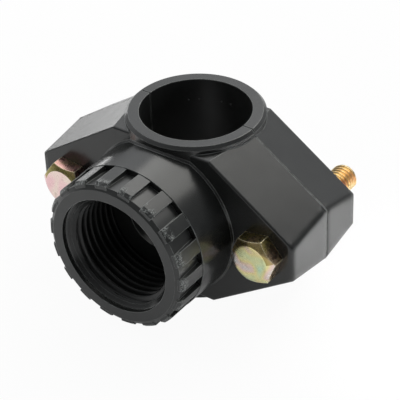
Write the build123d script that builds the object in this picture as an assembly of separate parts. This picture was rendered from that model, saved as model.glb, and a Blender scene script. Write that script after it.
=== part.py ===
from build123d import *
from math import cos, radians, sqrt, tan
import os

# Tapping saddle for a 32 mm pipe, with a 1 inch female branch. Millimetres.
# Frame: origin where the pipe axis crosses the branch axis, +Z along the pipe,
# -Y out through the branch, +X along the row of the clamp bolts.

# ---- driving dimensions ------------------------------------------------------
# Pipe barrel
pipe_diameter = 32.0          # outside diameter of the pipe that is clamped
barrel_wall = 4.0             # wall of the barrel round the pipe
collar_height = 1.6           # barrel above the block, at each end
barrel_edge_chamfer = 0.9     # outer edge of the barrel's end faces
parting_gap = 0.3             # slit between the two halves

# Wing block: an octagon that is drafted both ways from the parting plane
front_depth = 17.2            # parting plane to the front face
back_depth = 14.6             # parting plane to the back face
block_margin = 0.45           # block above the foot of the branch
end_height = 8.2              # half the height of the end faces at the parting
end_margin = 10.5             # bolt axis to the end face
wing_slope = 34.2             # slope from the flat top to the end face, degrees
front_draft = 9.2             # draft of the front half's slopes, degrees
back_draft = 12.3             # draft of the back half's slopes, degrees
top_draft = 2.0               # draft of the flat top, degrees
end_round = 1.0               # round between the end faces and the slopes
face_round = 0.7              # round along the front and back faces

# Hollows moulded in from the parting plane
wing_wall = 2.8               # wall and floor left round the hollows
web_thickness = 2.4           # web along the row of bolts

# Clamp bolts and nuts, M8
bolt_length = 45.0            # under the head
bolt_diameter = 8.0
bolt_tip_chamfer = 1.0
bolt_hole_clearance = 0.4     # radial, bolt in the moulded holes
thread_clearance = 0.06       # radial, bolt in nut
hex_across_flats = 13.0
hex_face_share = 0.84         # round face of a hexagon, as a share of its flats
hex_chamfer_angle = 36.0      # chamfer on a hexagon's corners, degrees
head_height = 5.3
head_seat_gap = 0.05          # between the head and the front face
head_side_gap = 1.35          # between the head and the foot of the branch
head_turn_left = 55.0         # turn of the left head's first corner, degrees
head_turn_right = 9.7         # turn of the right head's first corner, degrees
nut_height = 6.5
nut_recess = 0.3              # nut below the back face
nut_pocket_clearance = 0.15   # at each flat
sleeve_wall = 2.6             # moulded sleeve round each bolt hole
nut_sleeve_wall = 1.8         # moulded sleeve round each nut pocket

# Branch: threaded bore, spigot for the ring, and conical foot
thread_diameter = 33.249      # major diameter of the 1 inch parallel thread
lead_in = 1.1                 # chamfer at the mouth of the thread
floor_wall = 2.8              # floor of the threaded bore over the seal groove
tap_hole_radius = 9.0         # hole through which the pipe is tapped
spigot_wall = 3.0             # wall of the spigot that carries the ring
shoulder_step = 1.15          # shoulder above the ring's floor
cone_length = 10.7            # barrel to shoulder
cone_spread = 0.3             # growth in radius from the shoulder to the front face
cone_foot_bevel = 0.5         # bevel between the cone and the body

# Reinforcing ring on the spigot
ring_length = 9.7
ring_clearance = 0.1          # to the spigot, its end and the shoulder
ring_wall = 2.48              # between the spigot and the ring's floor, near the face
ring_back_wall = 1.88         # the same at the shoulder, where the recesses are deeper
ring_lip = 1.3                # thickness of the lip over the spigot's end
lip_set_back = 0.12           # lip's opening outside the mouth of the thread
ring_edge_width = 1.25        # bevel round the face, across the face
ring_edge_depth = 0.9         # bevel round the face, along the ring
rib_height = 1.0              # ribs above the ring's floor, near the face
rib_set_back = 0.4            # front end of the ribs behind the face
rib_bevel = 1.0               # sloped front of each rib, along the rib
rib_drop = 0.9                # sloped front of each rib, across the rib
rib_count = 18
rib_share = 0.5               # part of the pitch that is rib
rib_phase = 17.5              # angle of the first rib's middle, degrees

# Seal in the barrel wall, round the tapping hole
seal_collar = 1.2             # wall left between the tapping hole and the groove
seal_width = 3.0
seal_depth = 2.2              # groove floor below the bore
seal_set_back = 0.1           # seal face below the bore
seal_clearance = 0.1          # seal to the walls and the floor of its groove

# ---- derived sizes -----------------------------------------------------------
bore_radius = pipe_diameter / 2
barrel_radius = bore_radius + barrel_wall
half_gap = parting_gap / 2

thread_radius = thread_diameter / 2
mouth_radius = thread_radius + lead_in
thread_floor = bore_radius + seal_depth + floor_wall
spigot_radius = thread_radius + spigot_wall
ring_inner_radius = spigot_radius + ring_clearance
ring_floor_radius = ring_inner_radius + ring_wall
lip_opening_radius = mouth_radius + lip_set_back
shoulder_radius = ring_floor_radius + shoulder_step
shoulder_reach = barrel_radius + cone_length
ring_back = shoulder_reach + ring_clearance
ring_reach = ring_back + ring_length
spigot_reach = ring_reach - ring_lip - ring_clearance
cone_root_radius = shoulder_radius + cone_spread

block_top = cone_root_radius + cone_foot_bevel + block_margin
barrel_height = 2 * (block_top + collar_height)

hex_circumradius = hex_across_flats / sqrt(3)
bolt_radius = bolt_diameter / 2
bolt_hole_radius = bolt_radius + bolt_hole_clearance
bolt_x = cone_root_radius + cone_foot_bevel + head_side_gap + hex_circumradius
head_seat = -(front_depth + head_seat_gap)
nut_seat = back_depth - nut_recess - nut_height
nut_pocket_flats = hex_across_flats + 2 * nut_pocket_clearance
sleeve_radius = bolt_hole_radius + sleeve_wall
nut_sleeve_radius = nut_pocket_flats / sqrt(3) + nut_sleeve_wall
end_reach = bolt_x + end_margin

seal_inner_radius = tap_hole_radius + seal_collar + seal_clearance
seal_outer_radius = seal_inner_radius + seal_width
past_all = 4 * end_reach      # a size that reaches beyond the whole part


# ---- helpers -----------------------------------------------------------------
def plane_at(y):
    """Drawing plane across the branch axis: local x is +X, local y is +Z."""
    return Plane(origin=(0, y, 0), x_dir=(1, 0, 0), z_dir=(0, -1, 0))


def rod_y(radius, y_front, y_back, x=0.0):
    """Round bar along Y between two depths."""
    return Pos(x, (y_front + y_back) / 2, 0) * Rot(90, 0, 0) * Cylinder(radius, y_back - y_front)


def hex_y(across_flats, y_front, y_back, x, turn=0.0):
    """Hexagonal bar along Y, its first corner turned from +X towards +Z."""
    outline = RegularPolygon(across_flats / 2, 6, major_radius=False, rotation=turn)
    return extrude(plane_at(y_back) * Pos(x, 0) * outline, amount=y_back - y_front)


def turned_y(*profile, arc=360.0):
    """Solid of revolution about the branch axis from (radius, y) corners."""
    return revolve(make_face(Polyline(*profile, close=True)), axis=Axis.Y, revolution_arc=arc)


def both_sides(make):
    """One feature at each bolt, joined."""
    return make(-bolt_x) + make(bolt_x)


# ---- the two halves ----------------------------------------------------------
def octagon(y, draft, inset=0.0):
    """Corners of the wing outline at one depth: a flat top, slopes and end faces."""
    depth = abs(y) - half_gap
    slope = radians(wing_slope)
    end_x = end_reach - inset
    top = block_top - depth * tan(radians(top_draft)) - inset
    end = end_height - depth * tan(radians(draft)) + inset * (tan(slope) - 1 / cos(slope))
    flat = end_x - (top - end) / tan(slope)
    upper = [(end_x, end), (flat, top), (-flat, top), (-end_x, end)]
    lower = [(x, -z) for x, z in reversed(upper)]
    return [(x, y, z) for x, z in upper + lower]


def drafted_block(y_parting, y_face, draft, inset=0.0):
    """Flat-sided solid between the outlines at two depths."""
    near = octagon(y_parting, draft, inset)
    far = octagon(y_face, draft, inset)
    sides = [(near[i - 1], near[i], far[i], far[i - 1]) for i in range(len(near))]
    faces = [make_face(Polyline(*corners, close=True)) for corners in [near, far, *sides]]
    return Solid(Shell([face.face() for face in faces]))


def wing_block(side, depth, draft):
    """One half's block, its end edges and its outer face rounded."""
    block = drafted_block(side * half_gap, side * depth, draft)
    by_x = block.faces().sort_by(Axis.X)
    end_edges = by_x[0].edges() + by_x[-1].edges()
    block = fillet([e for e in end_edges if abs(e.tangent_at(0.5).Y) > 0.5], end_round)
    outer_face = block.faces().sort_by(Axis.Y)[0 if side < 0 else -1]
    return fillet(outer_face.edges(), face_round)


def hollows(side, depth, draft, sleeves):
    """Space inside one half's walls, less the barrel, the web and the sleeves."""
    space = drafted_block(side * half_gap, side * (depth - wing_wall), draft, wing_wall)
    return space - Cylinder(barrel_radius, past_all) - Box(past_all, past_all, web_thickness) - sleeves


def half_barrel(side):
    """One half of the barrel round the pipe, its end edges chamfered."""
    barrel = Cylinder(barrel_radius, barrel_height)
    barrel = chamfer(barrel.edges().filter_by(GeomType.CIRCLE), barrel_edge_chamfer)
    one_side = Pos(0, side * (half_gap + past_all / 2), 0) * Box(past_all, past_all, past_all)
    return barrel & one_side


def cone():
    """Tapered foot of the branch, from inside the block to the shoulder."""
    root = front_depth / 2
    taper = cone_spread / (shoulder_reach - front_depth)
    root_radius = cone_root_radius + taper * (front_depth - root)
    return turned_y((0, -root), (root_radius, -root), (shoulder_radius, -shoulder_reach),
                    (0, -shoulder_reach))


def lead_in_cut():
    """Chamfer that guides the pipe thread into the spigot."""
    return turned_y((0, -spigot_reach), (mouth_radius, -spigot_reach), (0, mouth_radius - spigot_reach))


def saddle_ring(inner, outer, near, far):
    """Ring about the branch axis, between two shells about the pipe axis."""
    tube = rod_y(outer, -past_all, 0) - rod_y(inner, -past_all, 0)
    return tube & (Cylinder(far, past_all) - Cylinder(near, past_all))


def outlet_half():
    """Front half: barrel, wings and the branch with its spigot."""
    body = half_barrel(-1) + wing_block(-1, front_depth, front_draft) + cone()
    side = body.faces().filter_by(GeomType.CONE).sort_by(SortBy.AREA)[-1]
    foot = [e for e in side.edges() if e.geom_type != GeomType.LINE and e.center().Y > -shoulder_reach + 1]
    body = chamfer(foot, cone_foot_bevel)
    body += rod_y(spigot_radius, -spigot_reach, -shoulder_reach)
    sleeves = both_sides(lambda x: rod_y(sleeve_radius, -front_depth, 0, x))
    body -= hollows(-1, front_depth, front_draft, sleeves)
    body -= Cylinder(bore_radius, past_all)
    body -= both_sides(lambda x: rod_y(bolt_hole_radius, -past_all, 0, x))
    body -= rod_y(thread_radius, -past_all, -thread_floor) + lead_in_cut()
    body -= rod_y(tap_hole_radius, -past_all, 0)
    return body - saddle_ring(seal_inner_radius - seal_clearance, seal_outer_radius + seal_clearance,
                              bore_radius / 2, bore_radius + seal_depth)


def clamp_half():
    """Back half: barrel and wings, with pockets that hold the nuts."""
    body = half_barrel(1) + wing_block(1, back_depth, back_draft)
    sleeves = both_sides(lambda x: rod_y(sleeve_radius, 0, back_depth, x)
                         + rod_y(nut_sleeve_radius, nut_seat - nut_sleeve_wall, back_depth, x))
    body -= hollows(1, back_depth, back_draft, sleeves)
    body -= Cylinder(bore_radius, past_all)
    body -= both_sides(lambda x: rod_y(bolt_hole_radius, 0, past_all, x))
    return body - both_sides(lambda x: hex_y(nut_pocket_flats, nut_seat, past_all, x))


# ---- ring, seal and fasteners ------------------------------------------------
def grip_ring():
    """Ring pressed over the spigot, with ribs round it and a lip over its end."""
    back = -ring_back
    face = -ring_reach
    hoop = turned_y((ring_inner_radius, back), (ring_inner_radius + ring_back_wall, back),
                    (ring_floor_radius, face + ring_edge_depth),
                    (ring_floor_radius - ring_edge_width, face), (lip_opening_radius, face),
                    (lip_opening_radius, face + ring_lip), (ring_inner_radius, face + ring_lip))
    pitch = 360 / rib_count
    arc = pitch * rib_share
    sunk = ring_inner_radius + ring_back_wall / 2
    top = ring_floor_radius + rib_height
    front = face + rib_set_back
    rib = turned_y((sunk, back), (top, back), (top, front + rib_bevel), (top - rib_drop, front),
                   (sunk, front), arc=arc)
    first = rib_phase + arc / 2
    return hoop + [Rot(0, -(first + i * pitch), 0) * rib for i in range(rib_count)]


def seal_ring():
    """Rubber ring that follows the pipe's surface round the tapping hole."""
    return saddle_ring(seal_inner_radius, seal_outer_radius, bore_radius + seal_set_back,
                       bore_radius + seal_depth - seal_clearance)


def crowned(hexagon, x, y_face, inward):
    """Take the chamfer off the corners at one face of a hexagon."""
    face_radius = hex_face_share * hex_across_flats / 2
    outside = hex_across_flats
    drop = inward * (outside - face_radius) * tan(radians(hex_chamfer_angle))
    cut = turned_y((face_radius, y_face), (outside, y_face), (outside, y_face + drop))
    return hexagon - Pos(x, 0, 0) * cut


def bolt(x, turn):
    """Hexagon head bolt, head on the front face and tip out of the back."""
    head_face = head_seat - head_height
    head = crowned(hex_y(hex_across_flats, head_face, head_seat, x, turn), x, head_face, 1)
    tip = head_seat + bolt_length
    shank = turned_y((0, head_seat), (bolt_radius, head_seat), (bolt_radius, tip - bolt_tip_chamfer),
                     (bolt_radius - bolt_tip_chamfer, tip), (0, tip))
    return head + Pos(x, 0, 0) * shank


def nut(x):
    """Hexagon nut that lies in its pocket in the back face."""
    nut_back = nut_seat + nut_height
    body = crowned(hex_y(hex_across_flats, nut_seat, nut_back, x), x, nut_back, -1)
    return body - rod_y(bolt_radius + thread_clearance, -past_all, past_all, x)


nodes = {
    "outlet_half": outlet_half(),
    "clamp_half": clamp_half(),
    "grip_ring": grip_ring(),
    "seal_ring": seal_ring(),
    "bolt_left": bolt(-bolt_x, head_turn_left),
    "bolt_right": bolt(bolt_x, head_turn_right),
    "nut_left": nut(-bolt_x),
    "nut_right": nut(bolt_x),
}

os.makedirs("parts", exist_ok=True)
for name, shape in nodes.items():
    export_step(shape, f"parts/{name}.step")
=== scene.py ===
from math import cos, pi, radians, sin, tan

import bmesh
import bpy
from mathutils import Matrix, Vector, noise


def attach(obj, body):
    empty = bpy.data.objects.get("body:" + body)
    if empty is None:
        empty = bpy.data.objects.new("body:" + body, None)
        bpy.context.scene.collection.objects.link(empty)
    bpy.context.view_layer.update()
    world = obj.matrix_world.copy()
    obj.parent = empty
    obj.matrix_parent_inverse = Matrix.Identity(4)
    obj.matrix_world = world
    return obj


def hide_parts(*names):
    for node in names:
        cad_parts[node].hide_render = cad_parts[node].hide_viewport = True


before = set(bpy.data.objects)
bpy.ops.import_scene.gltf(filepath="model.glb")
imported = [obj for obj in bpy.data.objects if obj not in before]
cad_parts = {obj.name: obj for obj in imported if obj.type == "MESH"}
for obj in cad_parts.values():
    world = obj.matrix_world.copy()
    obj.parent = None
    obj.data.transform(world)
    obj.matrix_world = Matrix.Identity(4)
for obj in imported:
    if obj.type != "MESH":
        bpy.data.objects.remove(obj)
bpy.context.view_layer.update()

# Tapping saddle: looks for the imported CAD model. Metres, the CAD's frame:
# origin where the pipe and branch axes cross, +Z along the pipe, -Y out of the branch.

MM = 0.001

# ---- sizes that the looks share with the CAD, in millimetres --------------------
BORE_R = 16.0
BARREL_R = 20.0
HALF_GAP = 0.15
END_REACH = 43.51
END_HEIGHT = 8.2
WING_SLOPE = 34.2
END_ROUND = 1.0
BOLT_X = 33.0101
BASE_Z = -26.2045
HEAD_SEAT = -17.25
HEAD_HEIGHT = 5.3
BOLT_TIP = 27.75
HEX_FLATS = 13.0
HEX_FACE_SHARE = 0.84
HEX_CHAMFER = 36.0
LEFT_HEAD_TURN = 55.0
RIGHT_HEAD_TURN = 9.7
RIB_ROOT_R = 22.3
RIB_FRONT_Y = -40.1

# Inch pipe thread of the branch
G1_MAJOR_R = 16.6245
G1_MINOR_R = 15.145
G1_PITCH = 2.309
MOUTH_Y = -39.1
MOUTH_R = 17.7245
LEAD_IN_END_Y = -38.0
THREAD_FLOOR_Y = -21.0

# Metric thread of the bolts
M8_MAJOR_R = 3.985
M8_MINOR_R = 3.27
M8_PITCH = 1.25
M8_START_Y = -1.0
M8_RUN_OUT = 1.5
M8_TIP_CHAMFER = 0.985


# ---- camera ---------------------------------------------------------------------
def make_camera():
    """Viewpoint above the branch and to the right of its axis, through a long lens."""
    azimuth = radians(36.759)
    elevation = radians(35.432)
    roll = radians(-2.306)
    distance = 490.6
    aside = 0.172
    above = -4.2
    back = Vector((sin(azimuth) * cos(elevation), -cos(azimuth) * cos(elevation), sin(elevation)))
    level = Vector((cos(azimuth), sin(azimuth), 0))
    upward = back.cross(level)
    right = cos(roll) * level + sin(roll) * upward
    up = -sin(roll) * level + cos(roll) * upward
    data = bpy.data.cameras.new("camera")
    data.sensor_width = 36.0
    data.lens = 152.66
    data.clip_start, data.clip_end = 0.01, 20.0
    camera = bpy.data.objects.new("camera", data)
    bpy.context.collection.objects.link(camera)
    turn = Matrix((right, up, back)).transposed().to_4x4()
    place = (distance * back + aside * level + above * upward) * MM
    camera.matrix_world = Matrix.Translation(place) @ turn
    bpy.context.scene.camera = camera


# ---- node helpers ---------------------------------------------------------------
class Nodes:
    """Short way to write the node tree of a material or the world."""

    def __init__(self, owner, output="ShaderNodeOutputMaterial"):
        owner.use_nodes = True
        self.owner = owner
        self.tree = owner.node_tree
        self.tree.nodes.clear()
        self.out = self.add(output)

    def add(self, kind, **settings):
        node = self.tree.nodes.new(kind)
        for key, value in settings.items():
            setattr(node, key, value)
        return node

    def put(self, value, socket):
        """Link a socket, or set a plain value."""
        if isinstance(value, bpy.types.NodeSocket):
            self.tree.links.new(value, socket)
        else:
            socket.default_value = value

    def coords(self, kind="Object"):
        return self.add("ShaderNodeTexCoord").outputs[kind]

    def off_axis(self, keep):
        """Distance from an axis: keep is 1 for the directions across it, 0 along it."""
        flat = self.add("ShaderNodeVectorMath", operation="MULTIPLY")
        self.put(self.coords(), flat.inputs[0])
        self.put(keep, flat.inputs[1])
        length = self.add("ShaderNodeVectorMath", operation="LENGTH")
        self.put(flat.outputs[0], length.inputs[0])
        return length.outputs["Value"]

    def split(self, vector):
        """The three parts of a vector."""
        node = self.add("ShaderNodeSeparateXYZ")
        self.put(vector, node.inputs[0])
        return node.outputs

    def noise(self, scale_mm, detail=4.0, roughness=0.5, distortion=0.0):
        """Noise whose features are about scale_mm across."""
        node = self.add("ShaderNodeTexNoise")
        self.put(self.coords(), node.inputs["Vector"])
        node.inputs["Scale"].default_value = 1 / (scale_mm * MM)
        node.inputs["Detail"].default_value = detail
        node.inputs["Roughness"].default_value = roughness
        node.inputs["Distortion"].default_value = distortion
        return node.outputs["Fac"]

    def math(self, operation, a, b=0.0):
        node = self.add("ShaderNodeMath", operation=operation)
        self.put(a, node.inputs[0])
        self.put(b, node.inputs[1])
        return node.outputs[0]

    def span(self, value, low, high, to_low=0.0, to_high=1.0, smooth=True):
        """Map low..high on to to_low..to_high, held at both ends."""
        node = self.add("ShaderNodeMapRange", clamp=True)
        if smooth:
            node.interpolation_type = "SMOOTHSTEP"
        for socket, number in zip(("Value", "From Min", "From Max", "To Min", "To Max"),
                                  (value, low, high, to_low, to_high)):
            self.put(number, node.inputs[socket])
        return node.outputs["Result"]

    def mix(self, factor, a, b):
        node = self.add("ShaderNodeMix", data_type="RGBA")
        self.put(factor, node.inputs[0])
        self.put(a, node.inputs[6])
        self.put(b, node.inputs[7])
        return node.outputs[2]

    def ramp(self, value, stops):
        """Colour ramp from (position, colour) stops."""
        node = self.add("ShaderNodeValToRGB")
        self.put(value, node.inputs["Fac"])
        band = node.color_ramp.elements
        while len(band) < len(stops):
            band.new(0.5)
        for element, (position, colour) in zip(band, stops):
            element.position = position
            element.color = colour
        return node.outputs["Color"]

    def bump(self, height, depth_mm, normal):
        """Normal tilted by a height of depth_mm, on top of another normal."""
        node = self.add("ShaderNodeBump")
        node.inputs["Strength"].default_value = 1.0
        node.inputs["Distance"].default_value = depth_mm * MM
        self.put(height, node.inputs["Height"])
        self.put(normal, node.inputs["Normal"])
        return node.outputs["Normal"]

    def rounded(self, radius_mm):
        """Normal that rounds the edges by a small radius."""
        node = self.add("ShaderNodeBevel", samples=8)
        node.inputs["Radius"].default_value = radius_mm * MM
        return node.outputs["Normal"]

    def edge_mask(self, radius_mm):
        """1 on the edges that the rounded normal turns away from the face, 0 elsewhere."""
        geometry = self.add("ShaderNodeNewGeometry")
        dot = self.add("ShaderNodeVectorMath", operation="DOT_PRODUCT")
        self.put(self.rounded(radius_mm), dot.inputs[0])
        self.put(geometry.outputs["Normal"], dot.inputs[1])
        return self.span(dot.outputs["Value"], 0.995, 0.93)

    def shader(self, **inputs):
        """Principled shader with the given inputs, as the material's surface."""
        node = self.add("ShaderNodeBsdfPrincipled")
        for key, value in inputs.items():
            self.put(value, node.inputs[key.replace("_", " ")])
        self.tree.links.new(node.outputs["BSDF"], self.out.inputs["Surface"])


def grey(level, tint=(1.0, 1.0, 1.0)):
    """Opaque colour of one level, with a tint."""
    return tuple(level * part for part in tint) + (1.0,)


# ---- materials ------------------------------------------------------------------
COOL = (0.98, 1.03, 0.99)
# lighter edges: partly wear, partly a painted highlight
RUBBED_AND_HIGHLIGHT_GAIN = 10.0
# lighter torn flakes: partly stress-whitening, partly a painted glint
FLAKE_WHITENING_AND_GLINT_GAIN = 13.0
FLAKE_DEPTH = 0.05
PLASTIC_IOR = 1.6
PLASTIC_SHEEN = 0.5
END_ZONE_X = 42.2
END_SOFTNESS = 3.0
BORE_EXTRA_ROUGHNESS = 0.18
# painted shade deep in the branch, which dims the plastic's reflections
SHADE_FROM_Y = -38.0
SHADE_FULL_Y = -27.0
SHADE_END_Y = -8.0
SHADE_AT_MOUTH = 0.35
SHADE_DULLS = 0.42


def torn_flakes(nodes):
    """1 on the small flakes torn out of the ribs' front ends, 0 elsewhere."""
    along = nodes.split(nodes.coords())["Y"]
    at_front = nodes.span(along, (RIB_FRONT_Y + 3.4) * MM, (RIB_FRONT_Y + 1.2) * MM)
    on_rib = nodes.span(nodes.off_axis((1, 0, 1)), RIB_ROOT_R * MM, (RIB_ROOT_R + 0.2) * MM)
    patch = nodes.span(nodes.noise(2.4, 2.0), 0.4, 0.5)
    grain = nodes.span(nodes.noise(0.45, 3.0, 0.75), 0.46, 0.58)
    where = nodes.math("MULTIPLY", nodes.math("MULTIPLY", at_front, on_rib), patch)
    return nodes.math("MULTIPLY", where, grain)


def branch_painted_shade(nodes):
    """Painted shade in the branch and behind it in the bore: more the deeper it is, 0 elsewhere."""
    along = nodes.split(nodes.coords())["Y"]
    within = nodes.span(nodes.off_axis((1, 0, 1)), (MOUTH_R - 0.2) * MM, (MOUTH_R - 0.5) * MM)
    in_front = nodes.span(along, (SHADE_END_Y + 3.0) * MM, SHADE_END_Y * MM)
    depth = nodes.span(along, SHADE_FROM_Y * MM, SHADE_FULL_Y * MM, SHADE_AT_MOUTH, 1.0)
    return nodes.math("MULTIPLY", nodes.math("MULTIPLY", within, in_front), depth)


def moulded_plastic(name, level, roughness, edge_mm, wave_mm=0.02, torn_ribs=False, soft_ends=False):
    """Black polypropylene: slight sinks, flow marks, and lighter edges from wear and a painted
    highlight.

    torn_ribs adds the torn flakes of the ring. soft_ends is for the two halves: their end
    faces shade as if widely rounded, and their pipe bore is duller.
    """
    nodes = Nodes(bpy.data.materials.new(name))
    blotch = nodes.span(nodes.noise(9.0, 3.0, 0.6), 0.35, 0.65)
    colour = nodes.mix(blotch, grey(level * 0.88, COOL), grey(level * 1.12, COOL))
    # painted highlight, partly wear: a lighter colour along the edges
    uneven = nodes.span(nodes.noise(2.5, 3.0), 0.3, 0.6, 0.25, 0.9)
    rubbed_and_highlight = nodes.math("MULTIPLY", nodes.edge_mask(edge_mm * 1.5), uneven)
    colour = nodes.mix(rubbed_and_highlight, colour, grey(level * RUBBED_AND_HIGHLIGHT_GAIN, COOL))
    smear = nodes.noise(4.5, 5.0, 0.65, distortion=0.8)
    rough = nodes.span(smear, 0.3, 0.7, roughness - 0.02, roughness + 0.04)
    normal = nodes.rounded(edge_mm)
    if soft_ends:
        across = nodes.math("ABSOLUTE", nodes.split(nodes.coords())["X"])
        at_end = nodes.span(across, (END_ZONE_X - 0.6) * MM, END_ZONE_X * MM)
        normal = nodes.mix(at_end, normal, nodes.rounded(END_SOFTNESS))
        in_bore = nodes.span(nodes.off_axis((1, 1, 0)), (BORE_R + 0.3) * MM, (BORE_R + 0.1) * MM)
        rough = nodes.math("ADD", rough, nodes.math("MULTIPLY", in_bore, BORE_EXTRA_ROUGHNESS))
    normal = nodes.bump(nodes.noise(12.0, 2.0, 0.4), wave_mm, normal)
    normal = nodes.bump(nodes.noise(0.16, 2.0, 0.7), 0.0015, normal)
    if torn_ribs:
        flakes = torn_flakes(nodes)
        normal = nodes.bump(flakes, FLAKE_DEPTH, normal)
        # the flakes take a lighter colour: partly stress-whitening, partly a painted glint
        colour = nodes.mix(flakes, colour, grey(level * FLAKE_WHITENING_AND_GLINT_GAIN, COOL))
    # painted shade: reflections are dimmed more deeper in the branch
    shade_dimming = nodes.math("MULTIPLY", branch_painted_shade(nodes), SHADE_DULLS)
    sheen = nodes.math("SUBTRACT", PLASTIC_SHEEN, shade_dimming)
    nodes.shader(Base_Color=colour, Roughness=rough, IOR=PLASTIC_IOR, Specular_IOR_Level=sheen,
             Normal=normal)
    return nodes.owner


def nitrile_rubber():
    """Matt black rubber of the seal."""
    nodes = Nodes(bpy.data.materials.new("nitrile_rubber"))
    colour = nodes.mix(nodes.noise(3.0), grey(0.014), grey(0.024))
    rough = nodes.span(nodes.noise(0.8), 0.3, 0.7, 0.55, 0.7)
    normal = nodes.bump(nodes.noise(0.2, 3.0), 0.01, nodes.rounded(0.2))
    nodes.shader(Base_Color=colour, Roughness=rough, IOR=1.5, Normal=normal)
    return nodes.owner


SOOT = (0.20, 0.16, 0.07, 1)
# bright gold of the edges: partly wear, partly a painted highlight
BRIGHT_RIM_WEAR_AND_HIGHLIGHT = (1.0, 0.9, 0.62, 1)


def yellow_zinc(name, tints, rough_low=0.2, rim_mm=0.35, round_mm=0.28):
    """Chromated zinc plate: the film's colour drifts, and edges turn bright gold from wear and a
    painted highlight.
    """
    nodes = Nodes(bpy.data.materials.new(name))
    drift = nodes.span(nodes.noise(7.5, 1.5, 0.4, distortion=0.5), 0.32, 0.68, smooth=False)
    soot = nodes.span(nodes.noise(2.2, 4.0, 0.6), 0.55, 0.8, 0.0, 0.4)
    film = nodes.mix(soot, nodes.ramp(drift, tints), SOOT)
    worn_and_highlight = nodes.edge_mask(rim_mm)
    rough = nodes.span(nodes.noise(1.2, 4.0, 0.6), 0.3, 0.7, rough_low, rough_low + 0.14)
    dents = nodes.bump(nodes.noise(1.8, 2.0, 0.5), 0.03, nodes.rounded(round_mm))
    # painted highlight, partly wear: edges turn bright gold and less metallic
    colour = nodes.mix(worn_and_highlight, film, BRIGHT_RIM_WEAR_AND_HIGHLIGHT)
    nodes.shader(Base_Color=colour, Metallic=nodes.span(worn_and_highlight, 0.0, 1.0, 1.0, 0.3),
             Roughness=rough, Normal=dents)
    return nodes.owner


# Colours of the zinc film, from one end of its drift to the other. The side tints are darker copies
# for the flats and the top of the chamfer: painted shade.
HEAD_TINTS = [(0.0, (0.66, 0.90, 0.66, 1)), (0.25, (0.84, 0.90, 0.52, 1)),
              (0.5, (0.98, 0.86, 0.42, 1)), (0.75, (0.98, 0.74, 0.64, 1)),
              (1.0, (0.80, 0.84, 0.84, 1))]
PINK_TINTS = [(0.0, (0.98, 0.82, 0.72, 1)), (0.4, (0.99, 0.70, 0.69, 1)),
              (0.7, (0.98, 0.65, 0.67, 1)), (1.0, (0.94, 0.85, 0.62, 1))]
SIDE_TINTS_PAINTED_SHADE = [(0.0, (0.30, 0.28, 0.11, 1)), (0.5, (0.50, 0.40, 0.15, 1)),
              (1.0, (0.62, 0.42, 0.30, 1))]
PINK_SIDE_TINTS_PAINTED_SHADE = [(0.0, (0.80, 0.50, 0.44, 1)), (0.5, (0.66, 0.36, 0.32, 1)),
                   (1.0, (0.50, 0.44, 0.20, 1))]
THREAD_TINTS = [(0.0, (1.0, 0.84, 0.48, 1)), (0.5, (0.98, 0.66, 0.32, 1)),
                (1.0, (0.86, 0.46, 0.28, 1))]


# ---- mesh helpers ---------------------------------------------------------------
def add_mesh(name, points, faces, material, body, smooth_below=35.0):
    """New piece from millimetre points, on a body and in a material slot."""
    mesh = bpy.data.meshes.new(name)
    mesh.from_pydata([tuple(c * MM for c in p) for p in points], [], faces)
    work = bmesh.new()
    work.from_mesh(mesh)
    bmesh.ops.recalc_face_normals(work, faces=work.faces)
    work.to_mesh(mesh)
    work.free()
    mesh.materials.append(material)
    piece = bpy.data.objects.new(name, mesh)
    bpy.context.collection.objects.link(piece)
    mesh.shade_smooth()
    mesh.set_sharp_from_angle(angle=radians(smooth_below))
    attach(piece, body)
    return piece


def lathe(rings, around):
    """Faces that join rings of points; a ring of one point closes the end."""
    points, faces, starts = [], [], []
    for ring in rings:
        starts.append(len(points))
        points.extend(ring)
    for (a, ring_a), (b, ring_b) in zip(zip(starts, rings), zip(starts[1:], rings[1:])):
        for k in range(around):
            after = (k + 1) % around
            if len(ring_a) == 1:
                faces.append((a, b + after, b + k))
            elif len(ring_b) == 1:
                faces.append((a + k, a + after, b))
            else:
                faces.append((a + k, a + after, b + after, b + k))
    return points, faces


def ring_at(radius, y, around, x=0.0, start=0.0):
    """Ring about the branch direction; radius may depend on the angle."""
    points = []
    for k in range(around):
        angle = start + 2 * pi * k / around
        r = radius(angle) if callable(radius) else radius
        points.append((x + r * sin(angle), y, r * cos(angle)))
    return points


def thread_depth(turn, flank):
    """Height of a rounded V thread, 0 at the root and 1 at the crest."""
    ramp = (abs(2 * (turn % 1.0) - 1) - 0.5) * flank + 0.5
    held = min(max(ramp, 0.0), 1.0)
    return held * held * (3 - 2 * held)


# ---- pieces ---------------------------------------------------------------------
def branch_thread(material):
    """Inch pipe thread inside the branch, cut away by the lead-in at its mouth."""
    around, rows_a_turn, flank = 160, 14, 1.15
    rows = round((THREAD_FLOOR_Y - LEAD_IN_END_Y) / G1_PITCH * rows_a_turn)
    root_r = G1_MAJOR_R - 0.012
    hidden_r = G1_MAJOR_R + 0.35

    def inner(y):
        chamfer_r = MOUTH_R - (y - MOUTH_Y)

        def radius(angle):
            height = thread_depth(y / G1_PITCH - angle / (2 * pi), flank)
            cut = root_r - height * (G1_MAJOR_R - G1_MINOR_R)
            return min(max(cut, chamfer_r), root_r)
        return radius

    step = (THREAD_FLOOR_Y - 0.02 - LEAD_IN_END_Y) / rows
    depths = [LEAD_IN_END_Y + i * step for i in range(rows + 1)]
    rings = [ring_at(inner(y), y, around) for y in depths]
    rings.append(ring_at(hidden_r, depths[-1], around))
    rings.append(ring_at(hidden_r, depths[0], around))
    points, faces = lathe(rings + [rings[0]], around)
    last = len(points) - around
    faces = [tuple(i - last if i >= last else i for i in face) for face in faces]
    return add_mesh("branch_thread", points[:last], faces, material, "outlet", 60.0)


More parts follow.
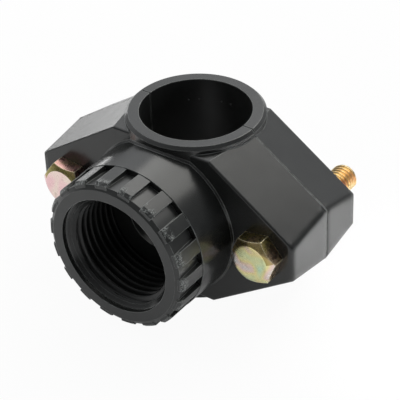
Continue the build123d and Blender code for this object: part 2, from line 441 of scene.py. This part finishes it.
def hex_radius(angle, turn):
    """Distance from the axis to a hexagon's side, corners at turn and every 60 degrees."""
    sixth = pi / 3
    from_corner = (angle - turn) % sixth
    return HEX_FLATS / 2 / cos(from_corner - sixth / 2)


FACE, CHAMFER_TOP, FLATS, SHANK = range(4)
FLATS_BELOW = 0.6
CHAMFER_BELOW = 0.94
FACES_UP = 0.12


def bolt_mesh(name, x, corner, materials, body):
    """Hexagon head bolt: chamfered head, plain neck and right-hand M8 thread.

    The materials are in the order of FACE, CHAMFER_TOP, FLATS and SHANK. Which one a face
    takes depends on how far its normal points along the bolt, and upwards.
    """
    around, rows_a_turn, flank = 96, 12, 1.25
    head_face = HEAD_SEAT - HEAD_HEIGHT
    round_r = HEX_FACE_SHARE * HEX_FLATS / 2
    # the rings' angle runs from +Z towards +X, the CAD's corner from +X towards +Z
    turn = pi / 2 - radians(corner)

    def side(angle):
        return hex_radius(angle, turn)

    def ring(radius, y):
        return ring_at(radius, y, around, x, turn)

    def chamfer_ring():
        flat = ring(side, 0.0)
        drop = tan(radians(HEX_CHAMFER))
        return [(px, head_face + (side(turn + 2 * pi * k / around) - round_r) * drop, pz)
                for k, (px, _, pz) in enumerate(flat)]

    def thread_ring(y):
        fade = min(1.0, max(0.0, (y - M8_START_Y) / M8_RUN_OUT))
        tip_r = M8_MAJOR_R - M8_TIP_CHAMFER + (BOLT_TIP - y)

        def radius(angle):
            height = thread_depth(y / M8_PITCH - angle / (2 * pi), flank)
            cut = M8_MAJOR_R - fade * (1 - height) * (M8_MAJOR_R - M8_MINOR_R)
            return min(cut, tip_r)
        return ring(radius, y)

    rows = round((BOLT_TIP - M8_START_Y) / M8_PITCH * rows_a_turn)
    step = (BOLT_TIP - M8_START_Y) / rows
    # the head's face is slightly dished, with a small round at its rim
    rings = [[(x, head_face + 0.06, 0.0)],
             ring(0.5 * round_r, head_face + 0.05),
             ring(round_r - 0.7, head_face + 0.02),
             ring(round_r - 0.2, head_face),
             ring(round_r, head_face + 0.04),
             chamfer_ring(),
             ring(side, HEAD_SEAT - 0.1),
             ring(lambda a: side(a) - 0.1, HEAD_SEAT),
             ring(M8_MAJOR_R, HEAD_SEAT),
             ring(M8_MAJOR_R, M8_START_Y - 0.5)]
    rings += [thread_ring(M8_START_Y + i * step) for i in range(rows + 1)]
    rings.append([(x, BOLT_TIP, 0.0)])
    points, faces = lathe(rings, around)
    piece = add_mesh(name, points, faces, materials[FACE], body, 28.0)
    for material in materials[1:]:
        piece.data.materials.append(material)
    for face in piece.data.polygons:
        lengthways, upwards = abs(face.normal[1]), face.normal[2]
        if face.center[1] / MM > HEAD_SEAT + 0.01:
            face.material_index = SHANK
        # painted shade: the flats and the upward part of the chamfer take darker copies of the film
        elif lengthways < FLATS_BELOW:
            face.material_index = FLATS
        elif lengthways < CHAMFER_BELOW and upwards > FACES_UP:
            face.material_index = CHAMFER_TOP
    return piece


def bore_pips(material):
    """Small moulded pips near the top of the pipe bore, in the back half."""
    angles = (87.4, 98.4, 122.7, 133.7)
    z = 19.4
    radius = 0.3
    proud = 0.25
    around = 12
    dome = ((1.0, -0.1), (1.0, 0.0), (0.8, 0.6), (0.45, 0.92))
    points, faces = [], []
    for angle in angles:
        out = Vector((cos(radians(angle)), sin(radians(angle)), 0))
        along = Vector((-out.y, out.x, 0))
        rings = []
        for share, lift in dome:
            ring = []
            for k in range(around):
                t = 2 * pi * k / around
                spot = (out * (BORE_R - lift * proud) + along * (radius * share * cos(t))
                        + Vector((0, 0, z + radius * share * sin(t))))
                ring.append(tuple(spot))
            rings.append(ring)
        rings.append([tuple(out * (BORE_R - proud) + Vector((0, 0, z)))])
        new_points, new_faces = lathe(rings, around)
        new_faces.append(tuple(reversed(range(around))))
        start = len(points)
        points += new_points
        faces += [tuple(i + start for i in face) for face in new_faces]
    return add_mesh("bore_pips", points, faces, material, "clamp")


def parting_flash(material):
    """Thin ragged fin that the front half's mould left along the parting line."""
    inner, root = -0.12, -0.35
    slope = radians(WING_SLOPE)
    rise = Vector((-cos(slope), 0, sin(slope)))
    corner = Vector((END_REACH, 0, END_HEIGHT))
    trim = END_ROUND * tan((pi / 2 - slope) / 2)
    top_run = (END_REACH - BARREL_R - 0.4) / cos(slope)
    upper = [corner + rise * (top_run + (trim - top_run) * i / 90) for i in range(91)]
    centre = corner + Vector((-END_ROUND, 0, -trim))
    bend = pi / 2 - slope
    upper += [centre + Vector((cos(a), 0, sin(a))) * END_ROUND for a in
              (bend * (1 - i / 6) for i in range(1, 6))]
    end_run = END_HEIGHT - trim
    upper += [Vector((END_REACH, 0, end_run * (1 - i / 20))) for i in range(21)]
    outline = upper + [Vector((p.x, 0, -p.z)) for p in reversed(upper[:-1])]
    points, faces = [], []
    for side in (1, -1):
        rings = []
        for i, spot in enumerate(outline):
            before, after = outline[max(i - 1, 0)], outline[min(i + 1, len(outline) - 1)]
            along = (after - before).normalized()
            out = Vector((-along.z, 0, along.x))
            if out.x < 0:
                out = -out
            seed = Vector((side * spot.x, 7.0, spot.z))
            ragged = 0.5 + 0.5 * noise.noise(seed * 0.9) + 0.35 * noise.noise(seed * 3.1)
            on_slope = min(1.0, max(0.0, (abs(out.z) - 0.2) / 0.4))
            height = (0.03 + 0.06 * ragged) * on_slope - 0.005
            reach = (0.06 + 0.16 * on_slope) * (0.35 + 0.65 * ragged)
            section = [(inner, -0.01), (-0.01, height), (reach, height * 0.7),
                       (reach, root), (inner, root)]
            ring = []
            for y, lift in section:
                p = spot + out * lift
                ring.append((side * p.x, -HALF_GAP + y, p.z))
            rings.append(ring)
        new_points, new_faces = lathe(rings, len(rings[0]))
        last = len(new_points) - len(rings[0])
        new_faces += [tuple(range(len(rings[0]))), tuple(range(last, len(new_points)))]
        start = len(points)
        points += new_points
        faces += [tuple(i + start for i in face) for face in new_faces]
    return add_mesh("parting_flash", points, faces, material, "outlet", 50.0)


# ---- stage ----------------------------------------------------------------------
FLOOR_GREY = 0.9
FLOOR_HALF = 2000.0
FLOOR_DROP = 0.05
CAMERA_SHARE = 0.95
GLOSSY_SHARE = 0.3
WORLD_LEVEL = 0.72
WORLD_TINT = (0.96, 0.98, 1.0, 1)
WARM = (1.0, 0.985, 0.93)
BLUISH = (0.88, 0.95, 1.0)


def make_floor():
    """Plain white floor, near white to the camera and a little brighter in reflections."""
    nodes = Nodes(bpy.data.materials.new("floor_white"))
    diffuse = nodes.add("ShaderNodeBsdfDiffuse")
    nodes.put(grey(FLOOR_GREY), diffuse.inputs["Color"])
    glow = nodes.add("ShaderNodeEmission")
    nodes.put(grey(1.0), glow.inputs["Color"])
    nodes.put(1.0, glow.inputs["Strength"])
    path = nodes.add("ShaderNodeLightPath")
    glossy = nodes.math("MAXIMUM", path.outputs["Is Glossy Ray"], path.outputs["Is Transmission Ray"])
    seen = nodes.math("MAXIMUM", nodes.math("MULTIPLY", path.outputs["Is Camera Ray"], CAMERA_SHARE),
                  nodes.math("MULTIPLY", glossy, GLOSSY_SHARE))
    mix = nodes.add("ShaderNodeMixShader")
    nodes.put(seen, mix.inputs[0])
    nodes.put(diffuse.outputs[0], mix.inputs[1])
    nodes.put(glow.outputs[0], mix.inputs[2])
    nodes.put(mix.outputs[0], nodes.out.inputs["Surface"])
    half, z = FLOOR_HALF * MM, (BASE_Z - FLOOR_DROP) * MM
    mesh = bpy.data.meshes.new("floor")
    mesh.from_pydata([(-half, -half, z), (half, -half, z), (half, half, z), (-half, half, z)], [],
                     [(0, 1, 2, 3)])
    mesh.materials.append(nodes.owner)
    floor_piece = bpy.data.objects.new("floor", mesh)
    bpy.context.collection.objects.link(floor_piece)


def make_world():
    """Soft light from all round, which the camera sees as white.

    It is weaker in front, on the right and low down, and stronger high on the left.
    """
    nodes = Nodes(bpy.data.worlds.new("studio"), "ShaderNodeOutputWorld")
    path = nodes.add("ShaderNodeLightPath")
    background = nodes.add("ShaderNodeBackground")
    nodes.put(WORLD_TINT, background.inputs["Color"])
    towards = nodes.split(nodes.coords("Generated"))
    right = nodes.span(towards["X"], 0.2, 0.75, WORLD_LEVEL, WORLD_LEVEL * 0.3)
    front = nodes.span(towards["Y"], -0.7, 0.1, 0.3, 1.0)
    low = nodes.span(towards["Z"], 0.02, 0.3, 0.45, 1.0)
    high = nodes.span(towards["Z"], 0.25, 0.55)
    left = nodes.span(towards["X"], 0.1, -0.3)
    high_left = nodes.math("MULTIPLY", high, left)
    gain = nodes.math("ADD", nodes.math("MULTIPLY", high_left, 0.6), 1.0)
    level = nodes.math("MULTIPLY", nodes.math("MULTIPLY", right, front), low)
    level = nodes.math("MULTIPLY", level, gain)
    seen = nodes.math("MAXIMUM", path.outputs["Is Camera Ray"], path.outputs["Is Transmission Ray"])
    nodes.put(nodes.math("MAXIMUM", seen, level), background.inputs["Strength"])
    nodes.put(background.outputs[0], nodes.out.inputs["Surface"])
    bpy.context.scene.world = nodes.owner


def soft_box(name, place, aim, size, radiance, colour=(1, 1, 1), beam=180):
    """Rectangular lamp that faces a point; its power is radiance times pi times its area.

    Its beam is the angle in degrees over which it spreads.
    """
    data = bpy.data.lights.new(name, "AREA")
    data.shape = "RECTANGLE"
    data.size, data.size_y = size[0] * MM, size[1] * MM
    data.energy = radiance * pi * data.size * data.size_y
    data.color = colour
    data.spread = radians(beam)
    lamp = bpy.data.objects.new(name, data)
    bpy.context.collection.objects.link(lamp)
    spot = Vector(place) * MM
    lamp.location = spot
    lamp.rotation_euler = (Vector(aim) * MM - spot).to_track_quat("-Z", "Y").to_euler()


def make_lights():
    """A large key behind and above, a thin strip low at the back left, a box on the right,
    and two lamps over the floor: on the left, and small and close on the right.
    """
    soft_box("key", (40, 530, 690), (0, 0, 0), (880, 600), 1.8, WARM)
    soft_box("left_table", (-530, 370, 320), (-530, 370, 0), (460, 400), 2.2, beam=100)
    soft_box("back_left", (-440, 295, -14), (0, 0, -14), (300, 24), 4.0)
    soft_box("right", (820, 200, 120), (0, 0, 0), (420, 200), 1.8, BLUISH)
    soft_box("right_table", (150, 40, 140), (90, 24, -26), (60, 60), 3.2, beam=30)


# ---- build ----------------------------------------------------------------------
make_camera()
make_world()
make_lights()
make_floor()

body_plastic = moulded_plastic("black_polypropylene", 0.017, 0.22, 0.35, 0.05, soft_ends=True)
ring_plastic = moulded_plastic("black_polypropylene_ring", 0.024, 0.3, 0.2, 0.03, torn_ribs=True)
# painted shade: the branch thread is darker than the body
thread_plastic_painted_shade = moulded_plastic("black_polypropylene_thread", 0.012, 0.3, 0.1)
# lighter than the body: partly whitening and wear, partly a painted highlight on the fin and the pips
flash_plastic_whitened_and_highlight = moulded_plastic("black_polypropylene_flash", 0.07, 0.3, 0.08)
rubber = nitrile_rubber()
head_zinc = yellow_zinc("zinc_head", HEAD_TINTS)
pink_zinc = yellow_zinc("zinc_head_pink", PINK_TINTS)
# painted shade: darker copies of the film for the flats and the top of the chamfer
side_zinc_painted_shade = yellow_zinc("zinc_sides", SIDE_TINTS_PAINTED_SHADE)
pink_side_zinc_painted_shade = yellow_zinc("zinc_sides_pink", PINK_SIDE_TINTS_PAINTED_SHADE)
thread_zinc = yellow_zinc("zinc_thread", THREAD_TINTS, 0.26, rim_mm=0.05, round_mm=0.06)

SHARP_FROM = 24.0
finishes = {
    "outlet_half": body_plastic,
    "clamp_half": body_plastic,
    "grip_ring": ring_plastic,
    "seal_ring": rubber,
    "bolt_left": side_zinc_painted_shade,
    "bolt_right": side_zinc_painted_shade,
    "nut_left": side_zinc_painted_shade,
    "nut_right": side_zinc_painted_shade,
}
for node, finish in finishes.items():
    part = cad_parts[node]
    part.data.materials.clear()
    part.data.materials.append(finish)
    part.data.shade_smooth()
    part.data.set_sharp_from_angle(angle=radians(SHARP_FROM))

branch_thread(thread_plastic_painted_shade)
bore_pips(flash_plastic_whitened_and_highlight)
parting_flash(flash_plastic_whitened_and_highlight)
left_finish = (pink_zinc, side_zinc_painted_shade, pink_side_zinc_painted_shade, thread_zinc)
right_finish = (head_zinc, side_zinc_painted_shade, side_zinc_painted_shade, thread_zinc)
bolt_left = bolt_mesh("bolt_left_detail", -BOLT_X, LEFT_HEAD_TURN, left_finish, "bolt_left")
bolt_right = bolt_mesh("bolt_right_detail", BOLT_X, RIGHT_HEAD_TURN, right_finish, "bolt_right")
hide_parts("bolt_left")
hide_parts("bolt_right")

bpy.context.scene.view_settings.view_transform = "Standard"
